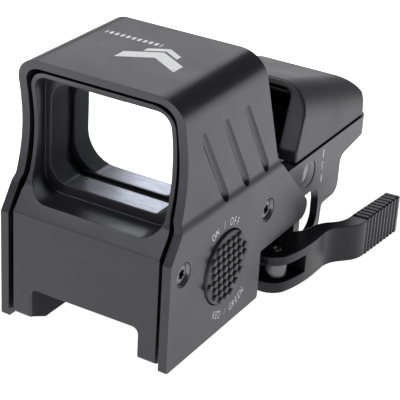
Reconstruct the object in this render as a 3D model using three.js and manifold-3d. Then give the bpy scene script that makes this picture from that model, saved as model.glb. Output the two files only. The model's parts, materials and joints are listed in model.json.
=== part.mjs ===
// Open reflex sight with a folded hood, a rear emitter housing and a quick-release rail clamp.
//
// Millimetres. +X is the side with the button and the throw lever, +Y points back to the
// shooter and +Z is up. The origin is the middle of the flat seat that rests on the rail.

import * as THREE from "three";
import * as BufferGeometryUtils from "three/addons/utils/BufferGeometryUtils.js";
import Module from "manifold-3d";

// ---------------------------------------------------------------- driving dimensions

const GAP = 0.3; // clearance between pieces that would touch
const OVER = 1; // how far a cutter runs past the face that it cuts

// The dovetail rail that the clamp grips: half widths and heights of its flanks.
const RAIL = { seatHalf: 8.6, half: 11.1, upperZ: -2.5, lowerZ: -3.1, neckHalf: 8.4, neckZ: -5.8 };

const BODY = {
  half: 18.9,
  frontY: -39.6,
  rearY: 64.4,
  baseZ: -6.4,
  kneeZ: 21.9,
  deckZ: 20.1,
  deckY: -13.4,
  frameHalf: 18.1,
  frameTopZ: 54.3,
  frameCorner: 5,
  rearCorner: 4.3,
  setback: 0.4,
};
const NOTCH = { half: 14.3, topZ: 3.75, footZ: -3.9, footY: -33.4, backY: -24 };
const RECESS = { half: 17, bottomZ: 24.5, topZ: 53, backY: -30.5, corner: 5 };
const LENS = {
  half: 15.45,
  bottomZ: 26.9,
  topZ: 50.4,
  corner: 4.5,
  seatCorner: 5.4,
  grooveY: -24.4,
  lip: 1,
  ringY: -21.6,
  ringCorner: 7.5,
  glassY: -15.6,
  thick: 1.7,
};
const LEG = { thick: 2, frontY: 27.4, rearY: 36.9, bottomZ: -3, topZ: 9.4 };
const WELL = { half: 14.9, frontY: -5.5, midY: 46, endY: 59, endHalf: 10, floorZ: 11.2, endFloorZ: 16.8 };

const HOOD = {
  half: 22,
  upperHalf: 21.25,
  topHalf: 20.8,
  wall: 2.1,
  frontY: -40,
  topZ: 57.1,
  bottomZ: -5.1,
  corner: 6.2,
  creaseFrontZ: 28.9,
  creaseRearZ: 27.4,
  creaseRise: 0.6,
  creaseDrop: 1.9,
  cheekZ: 7.2,
  cheekY: 0.8,
};
const GROOVE = { tops: [-27.5, -18.1, -8.9], topZ: 46.2, bottomZ: 28.7, run: 10.5, radius: 1.3, sink: 0.6 };
const SCREW = {
  ys: [-34.6, 2.9],
  z: 17.2,
  bore: 2.85,
  sink: 1.6,
  neck: 1.6,
  shank: 1.2,
  head: 2.4,
  below: 0.7,
  endX: 15.6,
  bossX: 19.6,
};

const BUTTON = {
  y: -16.4,
  z: 11,
  bore: 9,
  radius: 8.5,
  outX: 22.5,
  backX: 19.7,
  plunger: 3,
  plungerX: 16.9,
};
const BATTERY = {
  radius: 8.4,
  bore: 8.7,
  leftX: -26.4,
  rightX: 7.6,
  endX: 9.2,
  collar: 9.3,
  collarX: -27,
};
const CAP = { radius: 10.2, inner: 9.6, faceX: -29.9, rimX: -23.2, floorX: -28.2, hole: 10, ribs: 24 };

const COVER = {
  wall: 2,
  half: 18.9,
  topHalf: 18.5,
  corner: 8.5,
  seamZ: 20.4,
  footY: 22.5,
  footZ: 23.3,
  frontY: 28.2,
  frontZ: 38.7,
  slopeY: 50.5,
  slopeZ: 32.4,
  rearY: 64.4,
  rearRound: 10.4,
  openingHalf: 13.6,
  openingTopZ: 36.9,
  frontWall: 2.6,
};
const COVER_SCREW = { x: 14.6, y: 56, boss: 2.6, shank: 1.1, hole: 1.4, head: 2.2, headZ: 16.4, topZ: 25 };

const ADJUST = {
  y: 30.1,
  z: 15,
  bore: 3.5,
  head: 3.1,
  shank: 1.4,
  hole: 1.7,
  shift: 0.5,
  bossX: 11,
  seatX: 12.4,
};
const ELEVATION = { bore: 2.8, head: 2.4, shank: 1.1, bossZ: 33.6, seatZ: 35, boss: 4.2, endZ: 23.5 };
const LED = { z: 27.4, radius: 2.4, holderHalf: 5, topZ: 32.9, bottomZ: 20.6 };

const LEVER = {
  pivotX: 20.9,
  pivotY: 11.5,
  camRadius: 5.2,
  camOffset: 1,
  bottomZ: -6.8,
  topZ: 3,
  slotBottomZ: -3.9,
  slotTopZ: 0.6,
  slotEndY: 16.8,
  ribCount: 10,
  ribStartY: 38,
  ribPitch: 1.7,
  ribDepth: 0.5,
  pin: 1.3,
};
const CLAMP = {
  frontY: 0,
  rearY: 23.6,
  outerX: 13.2,
  topZ: 3.3,
  pocketX: 8,
  bolt: 1.4,
  boltZ: -1.65,
  plateX: 14.4,
};
const NUT = { radius: 3.9, innerX: -15.8, outerX: -18.6 };
const BOLT_RELIEF = 0.5; // depth of the seat's groove over the cross bolt
const GUIDE = {
  ys: [3.6, 20],
  z: 1.4,
  radius: 1,
  startX: 1.5,
  endX: 12.6,
  springX: 4.3,
  springRadius: 1.75,
};

// ---------------------------------------------------------------- solids

const wasm = await Module();
wasm.setup();

// Turns a closed three.js geometry into a solid that can be joined and cut.
function toSolid(geometry) {
  const bare = geometry.clone();
  bare.deleteAttribute("normal");
  bare.deleteAttribute("uv");
  const merged = BufferGeometryUtils.mergeVertices(bare, 1e-4);
  return new wasm.Manifold(
    new wasm.Mesh({
      numProp: 3,
      vertProperties: new Float32Array(merged.attributes.position.array),
      triVerts: new Uint32Array(merged.index.array),
    }),
  );
}

function toGeometry(solid) {
  const mesh = solid.getMesh();
  const geometry = new THREE.BufferGeometry();
  geometry.setAttribute("position", new THREE.BufferAttribute(mesh.vertProperties, 3));
  geometry.setIndex(new THREE.BufferAttribute(mesh.triVerts, 1));
  geometry.computeVertexNormals();
  return geometry;
}

function join(...pieces) {
  return toGeometry(pieces.map(toSolid).reduce((all, next) => all.add(next)));
}

function cut(piece, ...cutters) {
  return toGeometry(cutters.map(toSolid).reduce((left, cutter) => left.subtract(cutter), toSolid(piece)));
}

function common(...pieces) {
  return toGeometry(pieces.map(toSolid).reduce((all, next) => all.intersect(next)));
}

// A closed outline through corners given as [a, b] or [a, b, radius], turning anticlockwise.
function outline(corners) {
  const shape = new THREE.Shape();
  corners.forEach(([a, b, radius = 0], i) => {
    const here = new THREE.Vector2(a, b);
    const [pa, pb] = corners.at(i - 1);
    const [na, nb] = corners[(i + 1) % corners.length];
    const before = new THREE.Vector2(pa - a, pb - b).normalize();
    const after = new THREE.Vector2(na - a, nb - b).normalize();
    const half = Math.acos(THREE.MathUtils.clamp(before.dot(after), -1, 1)) / 2;
    const start = here.clone().addScaledVector(before, radius / Math.tan(half));
    if (i === 0) {
      shape.moveTo(start.x, start.y);
    } else {
      shape.lineTo(start.x, start.y);
    }
    if (radius > 0) {
      const end = here.clone().addScaledVector(after, radius / Math.tan(half));
      const inward = before.clone().add(after).normalize();
      const centre = here.clone().addScaledVector(inward, radius / Math.sin(half));
      const clockwise = before.cross(after) > 0;
      const from = start.sub(centre).angle();
      const to = end.sub(centre).angle();
      shape.absarc(centre.x, centre.y, radius, from, to, clockwise);
    }
  });
  return shape;
}

function box(low, high) {
  const [dx, dy, dz] = high.map((value, i) => value - low[i]);
  return new THREE.BoxGeometry(dx, dy, dz).translate(low[0] + dx / 2, low[1] + dy / 2, low[2] + dz / 2);
}

function extrude(shape, depth, curveSegments) {
  return new THREE.ExtrudeGeometry(shape, { depth, bevelEnabled: false, curveSegments });
}

// An outline drawn in (y, z), run along X from x0 to x1.
function alongX(shape, x0, x1, segments = 7) {
  const turn = new THREE.Matrix4().makeBasis(
    new THREE.Vector3(0, 1, 0),
    new THREE.Vector3(0, 0, 1),
    new THREE.Vector3(1, 0, 0),
  );
  return extrude(shape, x1 - x0, segments).applyMatrix4(turn).translate(x0, 0, 0);
}

// An outline drawn in (x, z), run along Y from y0 to y1.
function alongY(shape, y0, y1, segments = 7) {
  return extrude(shape, y1 - y0, segments).rotateX(Math.PI / 2).translate(0, y1, 0);
}

// An outline drawn in (x, y), run along Z from z0 to z1.
function alongZ(shape, z0, z1, segments = 7) {
  return extrude(shape, z1 - z0, segments).translate(0, 0, z0);
}

// A round rod along X between x0 and x1, in either order.
function rodX(radius, x0, x1, y, z, sides = 28) {
  const rod = new THREE.CylinderGeometry(radius, radius, Math.abs(x1 - x0), sides);
  return rod.rotateZ(Math.PI / 2).translate((x0 + x1) / 2, y, z);
}

function rodY(radius, y0, y1, x, z, sides = 28) {
  return new THREE.CylinderGeometry(radius, radius, y1 - y0, sides).translate(x, (y0 + y1) / 2, z);
}

function rodZ(radius, z0, z1, x, y, sides = 28) {
  const rod = new THREE.CylinderGeometry(radius, radius, z1 - z0, sides);
  return rod.rotateX(Math.PI / 2).translate(x, y, (z0 + z1) / 2);
}

// An upright opening in (x, z) with rounded corners.
function windowOutline(half, bottom, top, lowCorner, highCorner = lowCorner) {
  return outline([
    [-half, bottom, lowCorner],
    [half, bottom, lowCorner],
    [half, top, highCorner],
    [-half, top, highCorner],
  ]);
}

// The swept front edge that the hood and the window frame share, as [y, z] points that run
// down from the given height to the knee.
function frontSweep(setback, topZ) {
  const sweep = new THREE.CubicBezierCurve(
    new THREE.Vector2(-36.8 + setback, HOOD.topZ),
    new THREE.Vector2(-32.5 + setback, 44),
    new THREE.Vector2(-32.5 + setback, 36.5),
    new THREE.Vector2(-36.2 + setback, 27),
  );
  const points = sweep.getPoints(16).map((p) => [p.x, p.y]);
  return points.filter(([, z]) => z < topZ - 0.5);
}

// ---------------------------------------------------------------- hood

// One side of the folded hood's section as [x, z], from the cheek's foot to the top.
function hoodSection(inset, creaseZ) {
  const radius = HOOD.corner - inset;
  const points = [[HOOD.half - inset, HOOD.bottomZ - OVER]];
  const bends = 6;
  for (let i = 0; i <= bends; i += 1) {
    const share = i / bends;
    const x = THREE.MathUtils.lerp(HOOD.half, HOOD.upperHalf, THREE.MathUtils.smoothstep(share, 0, 1));
    const z = THREE.MathUtils.lerp(-HOOD.creaseDrop, HOOD.creaseRise, share);
    points.push([x - inset, creaseZ + z + 0.2 * inset]);
  }
  const steps = 9;
  for (let i = 0; i <= steps; i += 1) {
    const angle = (Math.PI / 2) * (i / steps);
    const x = HOOD.topHalf - HOOD.corner + radius * Math.cos(angle);
    points.push([x, HOOD.topZ - HOOD.corner + radius * Math.sin(angle)]);
  }
  return points;
}

// The hood's wall as one closed loop: over the outside from right to left, then back inside.
function hoodLoop(creaseZ) {
  const outer = hoodSection(0, creaseZ);
  const inner = hoodSection(HOOD.wall, creaseZ);
  const mirrored = (points) => points.map(([x, z]) => [-x, z]);
  return [...outer, ...mirrored(outer).reverse(), ...mirrored(inner), ...inner.reverse()];
}

// A closed solid between two matching loops of [x, z] at y0 and y1.
function loftY(front, rear, y0, y1) {
  const count = front.length;
  const caps = THREE.ShapeUtils.triangulateShape(front.map(([x, z]) => new THREE.Vector2(x, z)), []);
  const triangles = [];
  for (const [a, b, c] of caps) {
    triangles.push(a, b, c, count + a, count + c, count + b);
  }
  for (let i = 0; i < count; i += 1) {
    const j = (i + 1) % count;
    triangles.push(i, count + i, count + j, i, count + j, j);
  }
  const corners = [...front.map(([x, z]) => [x, y0, z]), ...rear.map(([x, z]) => [x, y1, z])];
  const geometry = new THREE.BufferGeometry();
  geometry.setAttribute("position", new THREE.Float32BufferAttribute(corners.flat(), 3));
  geometry.setIndex(triangles);
  return geometry;
}

function hoodSide() {
  return outline([
    [HOOD.frontY, HOOD.bottomZ, 0.8],
    [HOOD.cheekY, HOOD.bottomZ, 0.8],
    [HOOD.cheekY, HOOD.cheekZ],
    [28.1, HOOD.cheekZ, 2.9],
    [7.6, 27.7, 2.5],
    [-2.2, HOOD.topZ],
    [-36.8, HOOD.topZ],
    ...frontSweep(0, HOOD.topZ),
    [HOOD.frontY, 21.2],
  ]);
}

function grooveCutter(side, topY) {
  const drop = GROOVE.topZ - GROOVE.bottomZ;
  const tool = new THREE.CapsuleGeometry(GROOVE.radius, Math.hypot(GROOVE.run, drop), 4, 14);
  const x = HOOD.upperHalf - 0.2 - GROOVE.sink + GROOVE.radius;
  tool.rotateX(Math.PI / 2 + Math.atan2(GROOVE.run, drop));
  return tool.translate(side * x, topY + GROOVE.run / 2, (GROOVE.topZ + GROOVE.bottomZ) / 2);
}

function hood() {
  const reach = HOOD.half + OVER;
  const wall = loftY(hoodLoop(HOOD.creaseFrontZ), hoodLoop(HOOD.creaseRearZ), HOOD.frontY - OVER, 30);
  const cutters = [
    rodX(BUTTON.bore, 10, reach, BUTTON.y, BUTTON.z, 40),
    rodX(CAP.hole, -10, -reach, BUTTON.y, BUTTON.z, 40),
  ];
  for (const side of [-1, 1]) {
    for (const y of SCREW.ys) {
      cutters.push(rodX(SCREW.neck, side * 10, side * reach, y, SCREW.z, 20));
      cutters.push(rodX(SCREW.bore, side * (HOOD.half - SCREW.sink), side * reach, y, SCREW.z, 28));
    }
    for (const y of GROOVE.tops) {
      cutters.push(grooveCutter(side, y));
    }
  }
  return cut(common(wall, alongX(hoodSide(), -reach, reach)), ...cutters);
}

// A countersunk hood screw with a cross recess, on the given side.
function hoodScrew(side, y) {
  const seat = HOOD.half - SCREW.sink + GAP;
  const top = HOOD.half - SCREW.below;
  const head = rodX(SCREW.head, side * seat, side * top, y, SCREW.z, 24);
  const shank = rodX(SCREW.shank, side * SCREW.endX, side * (seat + 0.1), y, SCREW.z, 16);
  const slots = [
    [0.4, 1.5],
    [1.5, 0.4],
  ].map(([dy, dz]) => {
    const xs = [side * (top - 0.5), side * (top + OVER)].sort((a, b) => a - b);
    return box([xs[0], y - dy, SCREW.z - dz], [xs[1], y + dy, SCREW.z + dz]);
  });
  return cut(join(head, shank), ...slots);
}

// ---------------------------------------------------------------- main housing

// The housing's outer shape: front block, window frame, deck, tail and rear legs.
function housingBlank() {
  const side = outline([
    [BODY.frontY, NOTCH.footZ, 1],
    [NOTCH.footY - 5.2, NOTCH.footZ, 0.5],
    [NOTCH.footY, BODY.baseZ, 2],
    [38.6, BODY.baseZ, 5.5],
    [39.5, 3, 1.2],
    [48.4, 3.2, 3],
    [48.6, 13, 2.2],
    [BODY.rearY, 15.2, 1],
    [BODY.rearY, BODY.deckZ],
    [BODY.deckY, BODY.deckZ],
    [BODY.deckY, BODY.frameTopZ, 0.8],
    [-35.9, BODY.frameTopZ],
    ...frontSweep(BODY.setback, BODY.frameTopZ),
    [BODY.frontY, BODY.kneeZ],
  ]);
  const section = outline([
    [-BODY.half, -12],
    [BODY.half, -12],
    [BODY.half, 26],
    [BODY.frameHalf, 30],
    [BODY.frameHalf, BODY.frameTopZ, BODY.frameCorner],
    [-BODY.frameHalf, BODY.frameTopZ, BODY.frameCorner],
    [-BODY.frameHalf, 30],
    [-BODY.half, 26],
  ]);
  const plan = outline([
    [-BODY.half, BODY.frontY - OVER],
    [BODY.half, BODY.frontY - OVER],
    [BODY.half, BODY.rearY, BODY.rearCorner],
    [-BODY.half, BODY.rearY, BODY.rearCorner],
  ]);
  const reach = BODY.half + OVER;
  return common(
    alongX(side, -reach, reach),
    alongY(section, BODY.frontY - OVER, BODY.rearY + OVER),
    alongZ(plan, -12, BODY.frameTopZ + OVER),
  );
}

// The outline of the lens seat, made smaller all round by the given clearance.
function seatOutline(clearance) {
  const edge = LENS.lip - clearance;
  const corner = LENS.seatCorner - clearance;
  return windowOutline(LENS.half + edge, LENS.bottomZ - edge, LENS.topZ + edge, corner);
}

// The cuts for the window, the lens seat and the front recess.
function windowCutters() {
  return [
    alongY(windowOutline(RECESS.half, RECESS.bottomZ, RECESS.topZ, RECESS.corner, 3.7), -45, RECESS.backY),
    alongY(windowOutline(LENS.half, LENS.bottomZ, LENS.topZ, LENS.corner), -45, -20),
    alongY(seatOutline(0), LENS.grooveY, BODY.deckY + OVER),
  ];
}

// The cuts under the body: the front notch, the rail channel and the space between the legs.
function undersideCutters() {
  const notch = outline([
    [-NOTCH.half, -10],
    [NOTCH.half, -10],
    [NOTCH.half, NOTCH.topZ, 1.6],
    [-NOTCH.half, NOTCH.topZ, 1.6],
  ]);
  const channel = outline([
    [-RAIL.neckHalf, -10],
    [RAIL.half, -10],
    [RAIL.half, RAIL.upperZ],
    [RAIL.seatHalf, 0],
    [-RAIL.seatHalf, 0],
    [-RAIL.half, RAIL.upperZ],
    [-RAIL.half, RAIL.lowerZ],
    [-RAIL.neckHalf, RAIL.neckZ],
  ]);
  const legWindow = outline([
    [LEG.frontY, LEG.bottomZ, 2],
    [LEG.rearY, LEG.bottomZ, 4.5],
    [LEG.rearY, LEG.topZ, 4.6],
    [LEG.frontY, LEG.topZ, 1.5],
  ]);
  const inner = BODY.half - LEG.thick;
  return [
    alongY(notch, -45, NOTCH.backY),
    alongY(channel, NOTCH.backY - OVER, LEG.frontY + OVER),
    box([-inner, LEG.frontY, -10], [inner, 50, LEG.topZ]),
    alongX(legWindow, -BODY.half - OVER, BODY.half + OVER),
    box([-RAIL.neckHalf, LEVER.pivotY - 2, -4], [CLAMP.pocketX + OVER, LEVER.pivotY + 2, BOLT_RELIEF]),
    box([CLAMP.pocketX, CLAMP.frontY - 0.4, -10], [BODY.half + OVER, CLAMP.rearY + 0.4, NOTCH.topZ]),
    rodX(CLAMP.bolt + 0.4, -BODY.half - OVER, CLAMP.pocketX + OVER, LEVER.pivotY, CLAMP.boltZ, 20),
    rodX(NUT.radius + GAP, -BODY.half - OVER, NUT.innerX + GAP, LEVER.pivotY, CLAMP.boltZ, 24),
    ...GUIDE.ys.map((y) => {
      return rodX(GUIDE.radius + GAP, GUIDE.startX - GAP, CLAMP.pocketX + OVER, y, GUIDE.z, 16);
    }),
    ...GUIDE.ys.map((y) => {
      return rodX(GUIDE.springRadius + GAP, GUIDE.springX - GAP, CLAMP.pocketX + OVER, y, GUIDE.z, 16);
    }),
  ];
}

// The cuts inside: battery bore, switch pocket, the open well and the adjuster's bore.
function innerCutters() {
  const half = BODY.half + OVER;
  const cutters = [
    rodX(BATTERY.bore, BATTERY.collarX - OVER, BATTERY.endX, BUTTON.y, BUTTON.z, 36),
    rodX(7.4, 14.4, half, BUTTON.y, BUTTON.z, 32),
    rodX(ADJUST.hole, ADJUST.bossX - OVER, ADJUST.seatX + OVER, ADJUST.y, ADJUST.z, 20),
    rodX(ADJUST.bore, ADJUST.seatX, half, ADJUST.y, ADJUST.z, 28),
  ];
  for (const side of [-1, 1]) {
    for (const y of SCREW.ys) {
      cutters.push(rodX(SCREW.shank + GAP, side * (SCREW.endX - GAP), side * half, y, SCREW.z, 16));
    }
    const { x, y } = { x: side * COVER_SCREW.x, y: COVER_SCREW.y };
    cutters.push(rodZ(COVER_SCREW.hole, 10, BODY.deckZ + OVER, x, y, 16));
    cutters.push(rodZ(COVER_SCREW.head + GAP, 10, COVER_SCREW.headZ + GAP, x, y, 20));
  }
  return cutters;
}

function housing() {
  const well = [
    box([-WELL.half, WELL.frontY, WELL.floorZ], [WELL.half, WELL.midY, BODY.deckZ + OVER]),
    box([-WELL.endHalf, WELL.midY - OVER, WELL.endFloorZ], [WELL.endHalf, WELL.endY, BODY.deckZ + OVER]),
  ];
  const bosses = [
    rodX(BATTERY.collar, BATTERY.collarX, -BODY.half + OVER, BUTTON.y, BUTTON.z, 40),
    rodX(4.8, ADJUST.bossX, WELL.half + OVER, ADJUST.y, ADJUST.z, 28),
  ];
  for (const side of [-1, 1]) {
    for (const y of SCREW.ys) {
      bosses.push(rodX(3.2, side * (BODY.half - OVER), side * SCREW.bossX, y, SCREW.z, 20));
    }
  }
  const hollow = cut(housingBlank(), ...well, ...windowCutters());
  return cut(join(hollow, ...bosses), ...undersideCutters(), ...innerCutters());
}

// ---------------------------------------------------------------- lens

function reflexLens() {
  return alongY(seatOutline(GAP), LENS.glassY, LENS.glassY + LENS.thick);
}

// The ring in front of the lens, with an opening whose corners are rounder than the window's.
function lensRetainer() {
  const inner = windowOutline(LENS.half, LENS.bottomZ, LENS.topZ, LENS.ringCorner);
  const rearY = LENS.glassY - GAP;
  return cut(
    alongY(seatOutline(GAP), LENS.ringY, rearY),
    alongY(inner, LENS.ringY - OVER, rearY + OVER),
  );
}

// ---------------------------------------------------------------- emitter cover

// The cover's outer shape, or with an inset the shape of its hollow.
function coverForm(inset) {
  const slope = (COVER.frontZ - COVER.slopeZ) / (COVER.slopeY - COVER.frontY);
  const section = outline([
    [-COVER.half + inset, 0],
    [COVER.half - inset, 0],
    [COVER.topHalf - inset, COVER.frontZ - inset, COVER.corner - inset],
    [-COVER.topHalf + inset, COVER.frontZ - inset, COVER.corner - inset],
  ]);
  const sheared = alongY(section, COVER.footY - OVER, COVER.rearY + OVER, 9);
  sheared.applyMatrix4(new THREE.Matrix4().makeShear(0, 0, 0, -slope, 0, 0));
  sheared.translate(0, 0, slope * COVER.frontY);

  const front = inset > 0 ? COVER.frontWall : 0;
  const cornerZ = COVER.slopeZ - slope * (COVER.rearY - COVER.slopeY) + 0.2 * inset;
  const side = outline([
    [COVER.footY + front, COVER.seamZ - (inset > 0 ? OVER : 0)],
    [COVER.rearY - inset, COVER.seamZ - (inset > 0 ? OVER : 0)],
    [COVER.rearY - inset, cornerZ, COVER.rearRound - inset],
    [COVER.frontY + front, COVER.frontZ + OVER],
    [COVER.footY + front, COVER.footZ],
  ]);
  const plan = outline([
    [-COVER.half + inset, COVER.footY - OVER],
    [COVER.half - inset, COVER.footY - OVER],
    [COVER.half - inset, COVER.rearY - inset, BODY.rearCorner + 1.5 - inset],
    [-COVER.half + inset, COVER.rearY - inset, BODY.rearCorner + 1.5 - inset],
  ]);
  return common(sheared, alongX(side, -BODY.half - OVER, BODY.half + OVER, 12), alongZ(plan, 10, 50, 9));
}

function emitterCover() {
  const opening = windowOutline(COVER.openingHalf, COVER.seamZ - OVER, COVER.openingTopZ, 0.1, 1.8);
  const mouth = alongY(opening, COVER.footY - 5, COVER.frontY + 5);
  const hollow = cut(coverForm(0), coverForm(COVER.wall), mouth);
  const { boss, shank, topZ, y } = COVER_SCREW;
  const posts = [-1, 1].map((side) => {
    return rodZ(boss, COVER.seamZ, topZ + 2, side * COVER_SCREW.x, y, 20);
  });
  const tower = rodZ(ELEVATION.boss, ELEVATION.bossZ, COVER.frontZ - 2.2, 0, ADJUST.y, 24);
  const holes = [-1, 1].map((side) => {
    return rodZ(shank + GAP, 10, topZ + GAP, side * COVER_SCREW.x, y, 16);
  });
  return cut(
    join(hollow, ...posts, tower),
    rodZ(ELEVATION.bore, ELEVATION.seatZ, 45, 0, ADJUST.y, 24),
    rodZ(ELEVATION.shank + GAP, 30, 40, 0, ADJUST.y, 16),
    ...holes,
  );
}

function coverScrew(side) {
  const { x, y } = { x: side * COVER_SCREW.x, y: COVER_SCREW.y };
  const head = rodZ(COVER_SCREW.head, 15, COVER_SCREW.headZ, x, y, 20);
  const shank = rodZ(COVER_SCREW.shank, COVER_SCREW.headZ - 0.1, COVER_SCREW.topZ, x, y, 14);
  const slot = box([x - 0.35, y - 3, 14], [x + 0.35, y + 3, 15.5]);
  return cut(join(head, shank), slot);
}

// ---------------------------------------------------------------- adjusters and emitter

function windageScrew() {
  const headX = ADJUST.seatX + GAP;
  const head = rodX(ADJUST.head, headX, headX + 2, ADJUST.y, ADJUST.z, 24);
  const shank = rodX(ADJUST.shank, -9, headX + 0.1, ADJUST.y, ADJUST.z, 16);
  const slot = box([headX + 1.1, ADJUST.y - 0.4, ADJUST.z - 4], [headX + 3, ADJUST.y + 0.4, ADJUST.z + 4]);
  return cut(join(head, shank), slot);
}

// The sliding block that the windage screw runs through, with a guide slot for the emitter.
function windageCarriage() {
  const block = box([-7.5, 26, WELL.floorZ + GAP], [7.5, 34.2, 20]);
  return cut(
    block,
    rodX(ADJUST.shank + GAP, -9, 9, ADJUST.y, ADJUST.z, 16),
    box([-3.3, 28, 17.4], [3.3, 32.2, 21]),
  );
}

function emitterHolder() {
  const body = box([-LED.holderHalf, 26.6, LED.bottomZ], [LED.holderHalf, 33.6, LED.topZ]);
  const foot = box([-3, 28.3, 18], [3, 31.9, LED.bottomZ + 0.2]);
  const slot = box(
    [-ELEVATION.shank - GAP - 0.7, ADJUST.y - ELEVATION.shank - GAP, ELEVATION.endZ - 1.2],
    [ELEVATION.shank + GAP + 0.7, ADJUST.y + ELEVATION.shank + GAP, LED.topZ + OVER],
  );
  return cut(join(body, foot), slot, rodY(LED.radius + GAP, 25, 28.2, 0, LED.z, 20));
}

function emitter() {
  const can = rodY(LED.radius, 26.2, 27.9, 0, LED.z, 20);
  const lens = new THREE.SphereGeometry(1.5, 14, 10).translate(0, 26.3, LED.z);
  return join(can, lens);
}

function elevationScrew() {
  const headZ = ELEVATION.seatZ + GAP;
  const head = rodZ(ELEVATION.head, headZ, headZ + 1.7, 0, ADJUST.y, 24);
  const shank = rodZ(ELEVATION.shank, ELEVATION.endZ, headZ + 0.1, 0, ADJUST.y, 14);
  const slot = box([-3, ADJUST.y - 0.35, headZ + 0.9], [3, ADJUST.y + 0.35, headZ + 3]);
  return cut(join(head, shank), slot);
}

function circuitBoard() {
  const board = box([-12.5, 36.5, 12.4], [12.5, 45.4, 13.6]);
  const feet = [-9, 9].map((x) => rodZ(1.5, WELL.floorZ + GAP, 12.5, x, 41, 14));
  return join(board, ...feet);
}

// ---------------------------------------------------------------- battery and button

function battery() {
  const can = rodX(BATTERY.radius, BATTERY.leftX, BATTERY.rightX - 1, BUTTON.y, BUTTON.z, 32);
  const nub = rodX(3, BATTERY.rightX - 1.1, BATTERY.rightX, BUTTON.y, BUTTON.z, 20);
  return join(can, nub);
}

function batteryCap() {
  const shell = rodX(CAP.radius, CAP.faceX, CAP.rimX, BUTTON.y, BUTTON.z, 48);
  const ribs = Array.from({ length: CAP.ribs }, (_, i) => {
    const angle = (i / CAP.ribs) * 2 * Math.PI;
    const y = BUTTON.y + (CAP.radius + 0.25) * Math.cos(angle);
    const z = BUTTON.z + (CAP.radius + 0.25) * Math.sin(angle);
    return rodX(0.6, CAP.faceX + 1.2, CAP.rimX + OVER, y, z, 6);
  });
  const slot = box(
    [CAP.faceX - OVER, BUTTON.y - 6, BUTTON.z - 1],
    [CAP.faceX + 1.1, BUTTON.y + 6, BUTTON.z + 1],
  );
  return cut(shell, rodX(CAP.inner, CAP.floorX, CAP.rimX + OVER, BUTTON.y, BUTTON.z, 40), slot, ...ribs);
}

function ringX(outer, inner, x0, x1, y, z, sides = 32) {
  return cut(rodX(outer, x0, x1, y, z, sides), rodX(inner, x0 - OVER, x1 + OVER, y, z, sides));
}

function onOffButton() {
  const face = rodX(BUTTON.radius, BUTTON.backX, BUTTON.outX, BUTTON.y, BUTTON.z, 40);
  const plunger = rodX(BUTTON.plunger, BUTTON.plungerX, BUTTON.backX + 0.1, BUTTON.y, BUTTON.z, 20);
  return join(face, plunger);
}

// ---------------------------------------------------------------- rail clamp

function movingJaw() {
  const section = outline([
    [CLAMP.outerX, BODY.baseZ, 0.6],
    [CLAMP.outerX, CLAMP.topZ],
    [RAIL.seatHalf + GAP, CLAMP.topZ],
    [RAIL.seatHalf + GAP, -GAP],
    [RAIL.half, RAIL.upperZ],
    [RAIL.half, RAIL.lowerZ],
    [RAIL.neckHalf, RAIL.neckZ],
    [RAIL.neckHalf, BODY.baseZ, 0.3],
  ].reverse());
  return cut(
    alongY(section, CLAMP.frontY, CLAMP.rearY),
    rodX(CLAMP.bolt + 0.4, 5, 20, LEVER.pivotY, CLAMP.boltZ, 20),
    ...GUIDE.ys.map((y) => rodX(GUIDE.radius + GAP, 5, 20, y, GUIDE.z, 16)),
  );
}

function camPlate() {
  const inner = CLAMP.outerX + GAP;
  const plate = box([inner, 4.6, -6], [CLAMP.plateX, 18.4, 2.6]);
  return cut(plate, rodX(CLAMP.bolt + 0.4, 5, 20, LEVER.pivotY, CLAMP.boltZ, 20));
}

function crossBolt() {
  const { pivotX, pivotY } = LEVER;
  const shank = rodX(CLAMP.bolt, NUT.outerX + 0.6, pivotX - 1.5, pivotY, CLAMP.boltZ, 20);
  const eye = rodZ(2.9, LEVER.slotBottomZ + GAP, LEVER.slotTopZ - GAP, pivotX, pivotY, 28);
  return cut(join(shank, eye), rodZ(LEVER.pin + GAP, -8, 4, pivotX, pivotY, 20));
}

function adjustingNut() {
  const nut = rodX(NUT.radius, NUT.outerX, NUT.innerX, LEVER.pivotY, CLAMP.boltZ, 24);
  const slot = box(
    [NUT.outerX - OVER, LEVER.pivotY - 5, CLAMP.boltZ - 0.5],
    [-18, LEVER.pivotY + 5, CLAMP.boltZ + 0.5],
  );
  return cut(nut, rodX(CLAMP.bolt + GAP, -20, -10, LEVER.pivotY, CLAMP.boltZ, 20), slot);
}

// The lever seen from above: a round cam end, a straight fork, an outward bend and a thumb pad.
function leverPlan() {
  const { pivotX, pivotY, camRadius, camOffset } = LEVER;
  const centreX = pivotX - camOffset;
  const shape = new THREE.Shape();
  shape.absarc(centreX, pivotY, camRadius, Math.PI * 0.6, Math.PI * 1.93, false);
  shape.bezierCurveTo(25.9, 13, 26.7, 17.5, 26.7, 22);
  shape.bezierCurveTo(26.8, 26, 26.2, 28, 28.8, 31);
  shape.bezierCurveTo(30.8, 33.2, 32.2, 34.4, 32.5, LEVER.ribStartY);
  const lean = (33.8 - 32.5) / (LEVER.ribCount * LEVER.ribPitch);
  for (let i = 0; i < LEVER.ribCount; i += 1) {
    const y = LEVER.ribStartY + i * LEVER.ribPitch;
    const x = 32.5 + lean * i * LEVER.ribPitch;
    shape.lineTo(x - LEVER.ribDepth, y + 0.3 * LEVER.ribPitch);
    shape.lineTo(x, y + 0.6 * LEVER.ribPitch);
    shape.lineTo(x, y + LEVER.ribPitch);
  }
  shape.lineTo(33.6, 55.9);
  shape.lineTo(29.6, 55.3);
  shape.lineTo(28, 38.5);
  shape.bezierCurveTo(27.9, 36, 27.8, 34.5, 25.5, 32);
  shape.bezierCurveTo(22.6, 29.6, 22.9, 27, 22.2, 25);
  shape.bezierCurveTo(21.6, 22.8, 19.6, 22.2, 18.9, 19);
  return shape;
}

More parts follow.
